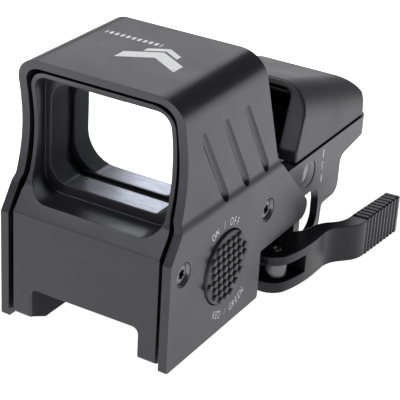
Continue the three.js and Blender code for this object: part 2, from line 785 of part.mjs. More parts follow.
function throwLever() {
  const { pivotX, pivotY } = LEVER;
  const blank = alongZ(leverPlan(), LEVER.bottomZ, LEVER.topZ, 10);
  const slot = box([10, 0, LEVER.slotBottomZ], [32, LEVER.slotEndY, LEVER.slotTopZ]);
  return cut(blank, slot, rodZ(LEVER.pin + GAP, -10, 10, pivotX, pivotY, 20));
}

// ---------------------------------------------------------------- finishes

const finish = (color, roughness, metalness) => ({ color, roughness, metalness });
const ANODISED = finish(0x3a3a3e, 0.5, 0.7);
const CAST = finish(0x333336, 0.62, 0.4);
const LEVER_BLACK = finish(0x1a1a1b, 0.32, 0.7);
const DARK_STEEL = finish(0x232325, 0.3, 0.9);
const STEEL = finish(0xb5afa6, 0.3, 1);
const RUBBER = finish(0x202022, 0.8, 0);
const GLASS = finish(0xd8e4ec, 0.05, 0);
const BOARD = finish(0x1f5a33, 0.6, 0);
const BRASS = finish(0xb8924a, 0.35, 1);

const sight = new THREE.Group();

function add(name, geometry, { color, roughness, metalness }) {
  const mesh = new THREE.Mesh(geometry, new THREE.MeshStandardMaterial({ color, roughness, metalness }));
  mesh.name = name;
  sight.add(mesh);
}

add("main_housing", housing(), ANODISED);
add("hood_shield", hood(), ANODISED);
for (const [sideName, side] of [["left", -1], ["right", 1]]) {
  add(`hood_screw_front_${sideName}`, hoodScrew(side, SCREW.ys[0]), DARK_STEEL);
  add(`hood_screw_rear_${sideName}`, hoodScrew(side, SCREW.ys[1]), DARK_STEEL);
  add(`cover_screw_${sideName}`, coverScrew(side), DARK_STEEL);
}
add("reflex_lens", reflexLens(), GLASS);
add("lens_retainer", lensRetainer(), ANODISED);
add("emitter_cover", emitterCover(), CAST);

add("windage_screw", windageScrew(), STEEL);
add("windage_carriage", windageCarriage(), BRASS);
add("elevation_screw", elevationScrew(), STEEL);
add("emitter_holder", emitterHolder(), CAST);
add("led_emitter", emitter(), GLASS);
add("circuit_board", circuitBoard(), BOARD);
add("control_chip", box([-3.5, 38.4, 13.9], [3.5, 43.4, 15.5]), CAST);

add("battery", battery(), STEEL);
add("battery_cap", batteryCap(), ANODISED);
add("battery_seal", ringX(10.3, CAP.inner, CAP.rimX + GAP, -22.3, BUTTON.y, BUTTON.z, 40), RUBBER);
add("battery_spring", ringX(4, 2.8, CAP.floorX + GAP, BATTERY.leftX - GAP, BUTTON.y, BUTTON.z, 24), STEEL);
add("battery_contact", rodX(5.5, BATTERY.rightX + GAP, BATTERY.endX - GAP, BUTTON.y, BUTTON.z, 24), BRASS);

add("on_off_button", onOffButton(), RUBBER);
add("switch_retainer", ringX(7.1, BUTTON.plunger + GAP, 16.4, 18.6, BUTTON.y, BUTTON.z), CAST);
add("switch_dome", rodX(4, 14.7, 15.8, BUTTON.y, BUTTON.z, 24), STEEL);

add("moving_jaw", movingJaw(), ANODISED);
add("cam_plate", camPlate(), STEEL);
add("cross_bolt", crossBolt(), DARK_STEEL);
add("adjusting_nut", adjustingNut(), DARK_STEEL);
add("throw_lever", throwLever(), LEVER_BLACK);
add("lever_pin", rodZ(LEVER.pin, -6.5, 2.6, LEVER.pivotX, LEVER.pivotY, 20), STEEL);
for (const [place, y] of [["front", GUIDE.ys[0]], ["rear", GUIDE.ys[1]]]) {
  add(`jaw_guide_pin_${place}`, rodX(GUIDE.radius, GUIDE.startX, GUIDE.endX, y, GUIDE.z, 16), STEEL);
  const inner = GUIDE.radius + 0.15;
  const spring = ringX(GUIDE.springRadius, inner, GUIDE.springX, RAIL.seatHalf, y, GUIDE.z, 16);
  add(`jaw_spring_${place}`, spring, STEEL);
}

export default sight;
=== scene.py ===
"""Looks for the open reflex sight: anodised metal, a clear lens, a rubber button and a worn lever.

Lengths are written in millimetres and turned into metres by mm(). +X is the side with the button
and the lever, +Y points back to the shooter, +Z is up, and the origin is the middle of the rail
seat.
"""

import json
import math

import bmesh
import bpy
from mathutils import Matrix, Vector

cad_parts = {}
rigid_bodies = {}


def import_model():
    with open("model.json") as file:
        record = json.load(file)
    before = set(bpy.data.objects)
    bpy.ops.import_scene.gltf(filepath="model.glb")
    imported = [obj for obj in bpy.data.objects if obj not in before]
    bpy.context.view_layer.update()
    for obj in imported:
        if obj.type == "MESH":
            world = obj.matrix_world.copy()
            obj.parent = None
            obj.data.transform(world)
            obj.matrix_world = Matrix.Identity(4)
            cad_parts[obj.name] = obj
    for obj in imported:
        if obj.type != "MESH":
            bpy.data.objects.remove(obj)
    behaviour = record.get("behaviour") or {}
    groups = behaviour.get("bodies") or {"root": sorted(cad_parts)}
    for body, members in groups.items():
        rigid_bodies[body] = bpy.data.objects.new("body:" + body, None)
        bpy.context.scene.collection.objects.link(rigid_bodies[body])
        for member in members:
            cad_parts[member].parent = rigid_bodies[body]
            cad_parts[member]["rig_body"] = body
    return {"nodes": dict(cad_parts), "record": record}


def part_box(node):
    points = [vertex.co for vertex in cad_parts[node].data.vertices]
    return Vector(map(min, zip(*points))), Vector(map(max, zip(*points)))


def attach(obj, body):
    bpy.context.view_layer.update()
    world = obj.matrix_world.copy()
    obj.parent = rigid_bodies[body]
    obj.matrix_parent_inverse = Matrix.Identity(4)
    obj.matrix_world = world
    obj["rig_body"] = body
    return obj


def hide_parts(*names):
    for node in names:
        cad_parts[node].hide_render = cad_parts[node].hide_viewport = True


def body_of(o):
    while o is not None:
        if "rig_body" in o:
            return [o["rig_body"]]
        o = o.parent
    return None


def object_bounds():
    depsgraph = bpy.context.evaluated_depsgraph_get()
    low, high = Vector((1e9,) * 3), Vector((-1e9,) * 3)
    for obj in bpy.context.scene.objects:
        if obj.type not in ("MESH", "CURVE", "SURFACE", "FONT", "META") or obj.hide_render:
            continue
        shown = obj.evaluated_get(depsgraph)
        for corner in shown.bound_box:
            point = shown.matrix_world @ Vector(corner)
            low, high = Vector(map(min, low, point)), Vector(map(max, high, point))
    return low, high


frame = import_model()
cad_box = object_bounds()
nodes = frame["nodes"]
scene = bpy.context.scene

MM = 0.001


def mm(*values):
    return Vector(values) * MM


def centre(node):
    """The middle of a CAD node's box, in mm."""
    low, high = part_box(node)
    return [(a + b) / 2 / MM for a, b in zip(low, high)]


# Places that the detailed pieces and the paint take from the CAD nodes.
_, BUTTON_Y, BUTTON_Z = centre("on_off_button")
_, WINDAGE_Y, WINDAGE_Z = centre("windage_screw")
PIN_X, PIN_Y, _ = centre("lever_pin")
LEVER_BOTTOM, LEVER_TOP = (corner[2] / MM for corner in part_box("throw_lever"))


# ---------------------------------------------------------------- camera

CAMERA_AZIMUTH = 29.135
CAMERA_ELEVATION = 26.596
CAMERA_ROLL = 3.464
CAMERA_TARGET = mm(1.37, 7.46, 11.68)
CAMERA_DISTANCE = 357.65 * MM
CAMERA_LENS = 134.01
CAMERA_SENSOR = 36


def towards(azimuth, elevation):
    """Direction from the object to a viewer or light at that azimuth and elevation in degrees."""
    a, e = math.radians(azimuth), math.radians(elevation)
    return Vector((math.sin(a) * math.cos(e), -math.cos(a) * math.cos(e), math.sin(e)))


def facing(back, roll=0):
    """Rotation whose -Z looks along -back, as cameras and lights do."""
    right = Vector((0, 0, 1)).cross(back).normalized()
    turn = Matrix((right, back.cross(right), back)).transposed()
    return (turn @ Matrix.Rotation(math.radians(roll), 3, "Z")).to_4x4()


def add_camera():
    back = towards(CAMERA_AZIMUTH, CAMERA_ELEVATION)
    data = bpy.data.cameras.new("camera")
    data.lens = CAMERA_LENS
    data.sensor_width = CAMERA_SENSOR
    data.clip_start = 0.01
    data.clip_end = 50
    camera = bpy.data.objects.new("camera", data)
    place = Matrix.Translation(CAMERA_TARGET + back * CAMERA_DISTANCE)
    camera.matrix_world = place @ facing(back, CAMERA_ROLL)
    scene.collection.objects.link(camera)
    scene.camera = camera


add_camera()


# ---------------------------------------------------------------- node helpers


def shader_node(tree, kind, inputs=None, **settings):
    """Adds a shader node. An input given as a socket is linked, anything else is its value."""
    made = tree.nodes.new(kind)
    for key, value in settings.items():
        setattr(made, key, value)
    for key, value in (inputs or {}).items():
        if isinstance(value, bpy.types.NodeSocket):
            tree.links.new(value, made.inputs[key])
        else:
            made.inputs[key].default_value = value
    return made


def math_node(tree, operation, a, b=0.0):
    inputs = {0: a, 1: b}
    made = shader_node(tree, "ShaderNodeMath", inputs, operation=operation)
    return made.outputs[0]


def ramp(tree, value, *stops):
    """Colour ramp of that value, with stops given as (place, colour)."""
    made = shader_node(tree, "ShaderNodeValToRGB", {"Fac": value})
    band = made.color_ramp
    while len(band.elements) < len(stops):
        band.elements.new(0.5)
    for element, (place, colour) in zip(band.elements, stops):
        element.position = place
        element.color = (*colour, 1)
    return made.outputs["Color"]


def new_material(name):
    material = bpy.data.materials.new(name)
    material.use_nodes = True
    tree = material.node_tree
    shader = tree.nodes["Principled BSDF"]
    place = tree.nodes.new("ShaderNodeTexCoord").outputs["Object"]
    return material, tree, shader, place


def noise(tree, place, size, detail=2.0, rough=0.5, stretch=None):
    """Noise whose grains are about that size in mm, drawn out along an axis by stretch."""
    if stretch:
        place = shader_node(
            tree, "ShaderNodeVectorMath", {0: place, 1: stretch}, operation="MULTIPLY"
        ).outputs["Vector"]
    return shader_node(
        tree,
        "ShaderNodeTexNoise",
        {"Vector": place, "Scale": 1 / (size * MM), "Detail": detail, "Roughness": rough},
    ).outputs["Fac"]


def bump(tree, shader, height, depth):
    """Bumps the surface by height (0 to 1) times depth in mm."""
    made = shader_node(
        tree, "ShaderNodeBump", {"Height": height, "Distance": depth * MM, "Strength": 1.0}
    )
    tree.links.new(made.outputs["Normal"], shader.inputs["Normal"])


def link(tree, value, socket):
    tree.links.new(value, socket)


# ---------------------------------------------------------------- materials


def mix_colour(tree, factor, a, b):
    """Colour a where factor is 0 and colour b where it is 1. Each is a socket or three numbers."""
    made = shader_node(tree, "ShaderNodeMix", {"Factor": factor}, data_type="RGBA")
    for place, colour in ((6, a), (7, b)):
        if isinstance(colour, bpy.types.NodeSocket):
            tree.links.new(colour, made.inputs[place])
        else:
            made.inputs[place].default_value = (*colour, 1)
    return made.outputs[2]


def spread(tree, value, low, high, start=0.3, end=0.7):
    """Takes value from start..end to low..high."""
    return shader_node(
        tree,
        "ShaderNodeMapRange",
        {"Value": value, "From Min": start, "From Max": end, "To Min": low, "To Max": high},
    ).outputs["Result"]


def axes(tree, place):
    """The three coordinates of a point on the object, in mm."""
    made = shader_node(
        tree, "ShaderNodeVectorMath", {0: place, 1: (1000, 1000, 1000)}, operation="MULTIPLY"
    )
    split = shader_node(tree, "ShaderNodeSeparateXYZ", {"Vector": made.outputs["Vector"]})
    return split.outputs["X"], split.outputs["Y"], split.outputs["Z"]


def within(tree, value, low, high, soft=0.05):
    """1 where the value lies between low and high, 0 outside, with a soft edge."""
    middle, half = (low + high) / 2, (high - low) / 2
    away = math_node(tree, "ABSOLUTE", math_node(tree, "SUBTRACT", value, middle))
    return spread(tree, away, 1.0, 0.0, half - soft, half + soft)


def both(tree, *masks):
    """1 where every mask is 1."""
    total = masks[0]
    for mask in masks[1:]:
        total = math_node(tree, "MULTIPLY", total, mask)
    return total


def either(tree, *masks):
    """1 where any mask is 1."""
    total = masks[0]
    for mask in masks[1:]:
        total = math_node(tree, "MAXIMUM", total, mask)
    return total


def distance(tree, a, b, centre_a, centre_b):
    """Distance of the point (a, b) from a centre in that plane."""
    squares = []
    for value, middle in ((a, centre_a), (b, centre_b)):
        away = math_node(tree, "SUBTRACT", value, middle)
        squares.append(math_node(tree, "MULTIPLY", away, away))
    return math_node(tree, "SQRT", math_node(tree, "ADD", *squares))


def nearer(tree, value, half):
    """1 where the value is less than half away from 0."""
    return math_node(tree, "LESS_THAN", math_node(tree, "ABSOLUTE", value), half)


def worn_edges(tree, place, start, end, patch=1.6):
    """1 on sharp outer edges, broken up by noise, so that wear comes and goes along an edge."""
    sharp = tree.nodes.new("ShaderNodeNewGeometry").outputs["Pointiness"]
    edge = spread(tree, sharp, 0.0, 1.0, start, end)
    broken = spread(tree, noise(tree, place, patch, 4.0, 0.7), 0.0, 1.0, 0.46, 0.58)
    return both(tree, edge, broken)


def specks(tree, place, cell, size):
    """1 on small scattered dust specks, about one to each few cells of that size in mm."""
    dust = shader_node(
        tree, "ShaderNodeTexVoronoi", {"Vector": place, "Scale": 1 / (cell * MM)}, feature="F1"
    )
    reach = spread(tree, noise(tree, place, 5.0, 1.0), 0.0, size / cell, 0.42, 0.75)
    return math_node(tree, "LESS_THAN", dust.outputs["Distance"], reach)


PRINT = (0.95, 0.95, 0.94)
# Painted light: a pale colour in the windage bore, so that it looks lit.
PAINTED_BORE_LIGHT = (0.6, 0.6, 0.61)
# Painted shade: near black in the window tunnel and the notch, where shade falls.
PAINTED_SHADE_BLACK = (0.006, 0.006, 0.007)
BRUSHED_DARK = (0.17, 0.18, 0.205)
BRUSHED_LIGHT = (0.27, 0.285, 0.32)
COOL_SHEEN = (0.94, 0.92, 1.0, 1)


def anodised(
    name,
    dark,
    light,
    roughness,
    grain=0.25,
    depth=0.004,
    dust=0.12,
    wear=None,
    worn=(0.3, 0.3, 0.3),
    paint=None,
    ior=1.5,
):
    """Coated metal: close shades in soft clouds, a blasted grain, pale specks and rubbed edges.

    paint(tree, xyz) may return masks: "print" for pale printing, "pale" for painted light, a pale
    colour in a bore, "bright" for brushed metal, "matt" for painted shade, near black and rough, on
    insides and "rubbed" for where wear may show."""
    material, tree, shader, place = new_material(name)
    colour = ramp(tree, noise(tree, place, 9.0, 3.0), (0.3, dark), (0.7, light))
    rough = spread(tree, noise(tree, place, 14.0, 4.0, 0.6), roughness - 0.04, roughness + 0.05)
    pale = tuple(6 * c + 0.08 for c in light)
    colour = mix_colour(tree, specks(tree, place, 2.6, dust), colour, pale)
    masks = paint(tree, axes(tree, place)) if paint else {}
    if wear:
        rubbed = both(tree, worn_edges(tree, place, *wear), masks["rubbed"])
        colour = mix_colour(tree, rubbed, colour, worn)
    if "print" in masks:
        ragged = spread(tree, noise(tree, place, 0.35, 3.0, 0.7), 0.55, 1.0, 0.3, 0.5)
        colour = mix_colour(tree, both(tree, masks["print"], ragged), colour, PRINT)
        rough = math_node(tree, "MAXIMUM", rough, math_node(tree, "MULTIPLY", masks["print"], 0.6))
    # Painted light: the windage bore is coloured pale.
    if "pale" in masks:
        colour = mix_colour(tree, masks["pale"], colour, PAINTED_BORE_LIGHT)
    # Painted shade: near black and rough where shade falls inside.
    if "matt" in masks:
        colour = mix_colour(tree, masks["matt"], colour, PAINTED_SHADE_BLACK)
        rough = math_node(tree, "MAXIMUM", rough, math_node(tree, "MULTIPLY", masks["matt"], 0.8))
    if "bright" in masks:
        brushed = noise(tree, place, 0.5, 3.0, 0.6, (0.12, 1.0, 1.0))
        metal = ramp(tree, brushed, (0.3, BRUSHED_DARK), (0.7, BRUSHED_LIGHT))
        colour = mix_colour(tree, masks["bright"], colour, metal)
        link(tree, masks["bright"], shader.inputs["Metallic"])
    link(tree, colour, shader.inputs["Base Color"])
    link(tree, rough, shader.inputs["Roughness"])
    shader.inputs["IOR"].default_value = ior
    shader.inputs["Specular Tint"].default_value = COOL_SHEEN
    bump(tree, shader, noise(tree, place, grain, 2.0, 0.6), depth)
    return material


def plain_metal(name, colour, roughness, grain=0.3, depth=0.002, stretch=(1, 1, 1)):
    """Bare metal with faint tool marks drawn out along one axis."""
    material, tree, shader, place = new_material(name)
    marks = noise(tree, place, grain, 3.0, 0.6, stretch)
    low = tuple(c * 0.75 for c in colour)
    link(tree, ramp(tree, marks, (0.3, low), (0.7, colour)), shader.inputs["Base Color"])
    link(tree, spread(tree, marks, roughness * 0.8, roughness * 1.2), shader.inputs["Roughness"])
    shader.inputs["Metallic"].default_value = 1.0
    bump(tree, shader, marks, depth)
    return material


def moulded(name, dark, light, roughness, grain=0.3, depth=0.006, ior=1.5):
    """Rubber or plastic: mottled colour with a soft pebbled skin."""
    material, tree, shader, place = new_material(name)
    clouds = noise(tree, place, 2.5, 4.0, 0.6)
    link(tree, ramp(tree, clouds, (0.3, dark), (0.7, light)), shader.inputs["Base Color"])
    link(tree, spread(tree, clouds, roughness - 0.05, roughness + 0.05), shader.inputs["Roughness"])
    shader.inputs["IOR"].default_value = ior
    bump(tree, shader, noise(tree, place, grain, 3.0, 0.6), depth)
    return material


def coated_glass(name, tint, metallic, glow):
    """Glass with a thin mirror coating, a shade uneven as coatings are.

    glow is a painted glow, light that it gives off itself though it is no lamp, so that it looks
    pale. Rays that don't come from the camera see half of it."""
    material, tree, shader, place = new_material(name)
    low = tuple(c * 0.985 for c in tint)
    clouds = ramp(tree, noise(tree, place, 12.0), (0.0, low), (1.0, tint))
    link(tree, clouds, shader.inputs["Base Color"])
    shader.inputs["Metallic"].default_value = metallic
    shader.inputs["Transmission Weight"].default_value = 1.0
    shader.inputs["Roughness"].default_value = 0.0
    # Painted glow: the glass gives off light so that it looks pale.
    shader.inputs["Emission Color"].default_value = (*tint, 1)
    seen = tree.nodes.new("ShaderNodeLightPath").outputs["Is Camera Ray"]
    link(tree, spread(tree, seen, 0.5 * glow, glow, 0.0, 1.0), shader.inputs["Emission Strength"])
    shader.inputs["IOR"].default_value = 1.45
    return material


# The mark on top of the hood: two plain chevrons, one behind the other, and a row of short strokes.
MARK_FLOOR = 56.9
MARK_X = 3.6
MARK_SLOPE = 0.62
# Each chevron: where it starts and ends along Y at its point, and its half width.
CHEVRONS = ((-19.8, -16.0, 7.4), (-15.2, -13.4, 4.2))
ROW_X = -6.2
ROW_HALF = 7.2
ROW_Y = (-13.6, -12.1)
STROKE_SHIFT = 30.0
STROKE_PITCH = 1.45
STROKE_SHARE = (0.16, 0.7)


def hood_paint(tree, xyz):
    x, y, z = xyz
    top = math_node(tree, "GREATER_THAN", z, MARK_FLOOR)
    across = math_node(tree, "ABSOLUTE", math_node(tree, "SUBTRACT", x, MARK_X))
    slope = math_node(tree, "ADD", y, math_node(tree, "MULTIPLY", across, MARK_SLOPE))
    chevrons = []
    for start, end, half in CHEVRONS:
        arm = within(tree, slope, start, end)
        chevrons.append(both(tree, arm, math_node(tree, "LESS_THAN", across, half)))
    along = math_node(tree, "ADD", x, STROKE_SHIFT)
    stroke = math_node(tree, "FRACT", math_node(tree, "DIVIDE", along, STROKE_PITCH))
    row = both(
        tree,
        within(tree, y, *ROW_Y),
        within(tree, stroke, *STROKE_SHARE),
        within(tree, x, ROW_X - ROW_HALF, ROW_X + ROW_HALF),
    )
    return {"print": both(tree, top, either(tree, *chevrons, row))}


# The housing's paint. Each range runs from its low end to its high end.
SIDE_X = 18.8
BAR_Y = (37.5, 37.95)
BARS_Z = ((9.9, 11.9), (16.7, 18.9))
BORE_RADIUS = 3.52
BORE_X = (12.0, 18.6)
LEDGE_HALF = 13.2
LEDGE_Y = (-30.2, -13)
LEDGE_Z = (26.5, 27.05)
LEDGE_FADE_X = (-12.0, 2.0)
TUNNEL_HALF = 16.6
TUNNEL_Y = (-30.3, -13.2)
TUNNEL_Z = (25.5, 52.0)
NOTCH_HALF = 14.35
NOTCH_Y = (-39.0, 40.0)
NOTCH_TOP = 3.9


def body_paint(tree, xyz):
    """Dial bars, painted light in the windage bore, a bright window ledge, and painted shade, near
    black, in the tunnel and notch.
    """
    x, y, z = xyz
    side = math_node(tree, "GREATER_THAN", x, SIDE_X)
    bars = either(tree, *(within(tree, z, *ends) for ends in BARS_Z))
    printed = both(tree, side, both(tree, within(tree, y, *BAR_Y), bars))

    # Painted light: the windage bore is marked to be coloured pale.
    from_axis = distance(tree, y, z, WINDAGE_Y, WINDAGE_Z)
    in_bore = both(
        tree,
        math_node(tree, "LESS_THAN", from_axis, BORE_RADIUS),
        within(tree, x, *BORE_X),
    )
    ledge = both(
        tree,
        within(tree, z, *LEDGE_Z),
        nearer(tree, x, LEDGE_HALF),
        within(tree, y, *LEDGE_Y),
        spread(tree, x, 0.3, 1.0, *LEDGE_FADE_X),
    )
    # Painted shade: the window tunnel's insides are coloured near black.
    tunnel = both(
        tree,
        within(tree, y, *TUNNEL_Y),
        nearer(tree, x, TUNNEL_HALF),
        within(tree, z, *TUNNEL_Z),
        math_node(tree, "LESS_THAN", ledge, 0.1),
    )
    # Painted shade: the notch along the bottom is coloured near black.
    notch = both(
        tree,
        math_node(tree, "LESS_THAN", z, NOTCH_TOP),
        nearer(tree, x, NOTCH_HALF),
        within(tree, y, *NOTCH_Y, soft=0.6),
    )
    matt = either(tree, tunnel, notch)
    return {"print": printed, "pale": in_bore, "bright": ledge, "matt": matt}


RUBBED_Y = (4.0, 38.0)
RUBBED_Z = (2.2, 3.4)


def lever_paint(tree, xyz):
    """The lever is rubbed along its top edge, ahead of the ribs."""
    _, y, z = xyz
    high = within(tree, z, *RUBBED_Z, soft=0.3)
    return {"rubbed": both(tree, high, within(tree, y, *RUBBED_Y, soft=2.0))}


BODY = anodised(
    "anodised_body",
    (0.009, 0.009, 0.0115),
    (0.014, 0.014, 0.0165),
    0.3,
    paint=body_paint,
)
HOOD = anodised(
    "anodised_hood",
    (0.009, 0.009, 0.011),
    (0.014, 0.014, 0.0165),
    0.3,
    paint=hood_paint,
)
COVER = anodised(
    "blasted_cover",
    (0.007, 0.007, 0.008),
    (0.011, 0.011, 0.012),
    0.4,
    grain=0.35,
    depth=0.012,
    dust=0.08,
)
LEVER = anodised(
    "lever_black",
    (0.008, 0.008, 0.009),
    (0.014, 0.014, 0.015),
    0.24,
    grain=0.3,
    depth=0.003,
    dust=0.1,
    wear=(0.55, 0.61),
    worn=(0.5, 0.49, 0.47),
    paint=lever_paint,
    ior=1.36,
)
LEVER_PAD = anodised(
    "lever_pad_black",
    (0.01, 0.01, 0.011),
    (0.016, 0.016, 0.017),
    0.27,
    grain=0.3,
    depth=0.003,
    dust=0.06,
    ior=1.4,
)
LABEL_PAINT = moulded("label_paint", (0.66, 0.66, 0.66), (0.82, 0.82, 0.81), 0.6)
BARE_ALLOY = moulded("bare_alloy", (0.58, 0.58, 0.59), (0.74, 0.74, 0.75), 0.4)
DARK_STEEL = plain_metal("black_oxide_steel", (0.16, 0.16, 0.17), 0.28)
STEEL = plain_metal("turned_steel", (0.62, 0.60, 0.56), 0.25, 0.2, 0.003)
BRASS = plain_metal("turned_brass", (0.72, 0.55, 0.27), 0.3)
RUBBER = moulded("button_rubber", (0.028, 0.028, 0.031), (0.038, 0.038, 0.041), 0.44)
CHIP = moulded("black_moulding", (0.015, 0.015, 0.016), (0.022, 0.022, 0.023), 0.45)
BOARD = moulded("circuit_board", (0.01, 0.07, 0.03), (0.02, 0.11, 0.05), 0.35)
CELL = moulded("cell_wrap", (0.28, 0.30, 0.32), (0.34, 0.36, 0.38), 0.3)
# The lens is given a painted glow, though it is no lamp.
GLASS = coated_glass("lens_glass", (0.97, 0.99, 1.0), 0.2, 0.85)
LED_LENS = moulded("emitter_lens", (0.3, 0.015, 0.015), (0.42, 0.03, 0.025), 0.15)

FINISH = {
    "body_black": BODY,
    "hood_black": HOOD,
    "cover_black": COVER,
    "lever_black": LEVER,
    "dark_steel": DARK_STEEL,
    "bright_steel": STEEL,
    "brass": BRASS,
    "rubber": RUBBER,
    "lens_glass": GLASS,
    "led_lens": LED_LENS,
    "board_green": BOARD,
    "chip_black": CHIP,
    "cell_wrap": CELL,
}


# ---------------------------------------------------------------- carried-over CAD nodes


WELD_REACH = 0.002
SHARP_ANGLE = 28


def refine(node, width, flatness=0.4):
    """Merges facets within flatness in degrees, rounds sharp edges by width in mm and smooths."""
    weld = node.modifiers.new("weld", "WELD")
    weld.merge_threshold = WELD_REACH * MM
    flat = node.modifiers.new("flat", "DECIMATE")
    flat.decimate_type = "DISSOLVE"
    flat.angle_limit = math.radians(flatness)
    edge = node.modifiers.new("edge", "BEVEL")
    edge.width = width * MM
    edge.segments = 2
    edge.limit_method = "ANGLE"
    edge.angle_limit = math.radians(SHARP_ANGLE)
    edge.use_clamp_overlap = False
    for face in node.data.polygons:
        face.use_smooth = True
    normals = node.modifiers.new("normals", "WEIGHTED_NORMAL")
    normals.mode = "FACE_AREA"
    normals.weight = 100
    normals.keep_sharp = False


for part in frame["record"]["subparts"]:
    piece = nodes[part["node"]]
    piece.data.materials.clear()
    piece.data.materials.append(FINISH[part["material_slot"]])

nodes["cam_plate"].data.materials[0] = DARK_STEEL

# The hood's fine facets, in its bends and grooves, merge over a wider angle.
refine(nodes["hood_shield"], 0.1, 2.5)
EDGE_WIDTHS = {
    "main_housing": 0.15,
    "moving_jaw": 0.25,
    "throw_lever": 0.2,
    "battery_cap": 0.15,
    "lens_retainer": 0.2,
}
for name, width in EDGE_WIDTHS.items():
    refine(nodes[name], width)


# ---------------------------------------------------------------- detailed pieces


def add_piece(name, grid, body, material, replaced=(), smooth_angle=40):
    """Makes a piece from a bmesh in metres, shaded smooth where its faces meet at a small angle."""
    bmesh.ops.remove_doubles(grid, verts=grid.verts, dist=1e-7)
    bmesh.ops.recalc_face_normals(grid, faces=grid.faces)
    limit = math.radians(smooth_angle)
    for edge in grid.edges:
        edge.smooth = len(edge.link_faces) == 2 and edge.calc_face_angle(0) < limit
    for face in grid.faces:
        face.smooth = True
    mesh = bpy.data.meshes.new(name)
    grid.to_mesh(mesh)
    grid.free()
    piece = bpy.data.objects.new(name, mesh)
    mesh.materials.append(material)
    scene.collection.objects.link(piece)
    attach(piece, body)
    if replaced:
        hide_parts(*replaced)


def loft(grid, loops):
    """Skins closed loops of equal length, and caps both ends. A loop of one point is a tip."""
    rings = [[grid.verts.new(point) for point in loop] for loop in loops]
    for lower, upper in zip(rings, rings[1:]):
        count = max(len(lower), len(upper))
        for i in range(count):
            j = (i + 1) % count
            if len(upper) == 1:
                grid.faces.new((lower[i], lower[j], upper[0]))
            elif len(lower) == 1:
                grid.faces.new((lower[0], upper[j], upper[i]))
            else:
                grid.faces.new((lower[i], lower[j], upper[j], upper[i]))
    for ring in (rings[0], rings[-1]):
        if len(ring) > 2:
            grid.faces.new(ring)


def turned(grid, profile, place, steps=48, lobes=0):
    """Skins a profile of (radius, height, lobe depth) turned about the local Z axis at place."""
    loops = []
    for radius, height, *depth in profile:
        if radius == 0:
            loops.append([place @ Vector((0, 0, height * MM))])
            continue
        wave = depth[0] if depth else 0
        loop = []
        for i in range(steps):
            angle = 2 * math.pi * i / steps
            reach = (radius + wave * math.cos(lobes * angle)) * MM
            point = Vector((reach * math.cos(angle), reach * math.sin(angle), height * MM))
            loop.append(place @ point)
        loops.append(loop)
    loft(grid, loops)


def along_x(x, y, z, side=1):
    """Place whose local Z points out of the object along +X, or along -X on the other side."""
    turn = Matrix.Rotation(math.radians(90 * side), 4, "Y")
    return Matrix.Translation(mm(x, y, z)) @ turn


FLAT_TURN = 0.8


def coil(grid, place, radius, wire, length, turns, steps_per_turn=20, sides=8):
    """A round wire spring along the local Z axis, with most of a turn lying flat at each end."""
    count = int(turns * steps_per_turn)
    loops = []
    for i in range(count + 1):
        turn = i / steps_per_turn
        rise = min(max((turn - FLAT_TURN) / (turns - 2 * FLAT_TURN), 0), 1)
        angle = 2 * math.pi * turn
        out = Vector((math.cos(angle), math.sin(angle), 0))
        centre = out * radius + Vector((0, 0, wire + (length - 2 * wire) * rise))
        loop = []
        for k in range(sides):
            a = 2 * math.pi * k / sides
            point = centre + out * (wire * math.cos(a)) + Vector((0, 0, wire * math.sin(a)))
            loop.append(place @ (point * MM))
        loops.append(loop)
    loft(grid, loops)


# Emitter cover: the CAD shell with its creases melted into the soft corners of a casting.
COVER_VOXEL = 0.32
COVER_MELT = 9


def cast_cover():
    piece = nodes["emitter_cover"].copy()
    piece.data = piece.data.copy()
    piece.name = "cast_cover"
    for key in list(piece.keys()):
        del piece[key]
    scene.collection.objects.link(piece)
    weld = piece.modifiers.new("weld", "WELD")
    weld.merge_threshold = WELD_REACH * MM
    skin = piece.modifiers.new("skin", "REMESH")
    skin.mode = "VOXEL"
    skin.voxel_size = COVER_VOXEL * MM
    skin.use_smooth_shade = True
    melt = piece.modifiers.new("melt", "SMOOTH")
    melt.factor = 0.5
    melt.iterations = COVER_MELT
    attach(piece, "sight_body")
    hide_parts("emitter_cover")


cast_cover()


# Hood screws: a cone-shaped cup, a slightly domed head and a six-lobed recess.
SCREW_FACE = 21.4
SCREW_PROFILE = (
    (1.2, -6.0),
    (1.2, -0.9),
    (2.1, -0.9),
    (2.74, -0.7),
    (2.74, 0.42),
    (2.66, 0.5),
    (2.56, 0.46),
    (2.16, -0.18),
    (2.06, -0.2),
    (1.98, -0.06),
    (1.5, 0.04),
    (1.16, 0.06, 0.2),
    (1.06, 0.0, 0.2),
    (0.96, -0.75, 0.2),
    (0.3, -0.85, 0.02),
    (0, -0.9),
)
for side_name, side in (("left", -1), ("right", 1)):
    for row in ("front", "rear"):
        node = f"hood_screw_{row}_{side_name}"
        _, y, z = centre(node)
        grid = bmesh.new()
        turned(grid, SCREW_PROFILE, along_x(side * SCREW_FACE, y, z, side), lobes=6)
        add_piece(f"lobed_{node}", grid, "sight_body", DARK_STEEL, (node,))


# Button: a rubber pad with studs in leaning columns and rows inside a plain rim.
BUTTON_FACE = 22.6
STUD_COLUMN = 2.25
STUD_ROW = 1.9
STUD_SLANT = 0.3
STUD_LEAN = 0.04
STUD_SHIFT_Y = 0.9
STUD_SHIFT_Z = 0.5
STUD_COLUMNS = 4
STUD_ROWS = 5
STUD_RADIUS = 0.84
STUD_HEIGHT = 0.6
STUD_FIELD = 8.0
PAD_PROFILE = (
    (3.0, -5.3),
    (3.0, -2.5),
    (8.7, -2.5),
    (8.7, -0.25),
    (8.6, -0.08),
    (8.4, 0.0),
    (0, 0.0),
)
STUD_PROFILE = ((1.0, -0.1), (1.0, 0.62), (0.93, 0.85), (0.74, 1.0), (0, 1.04))


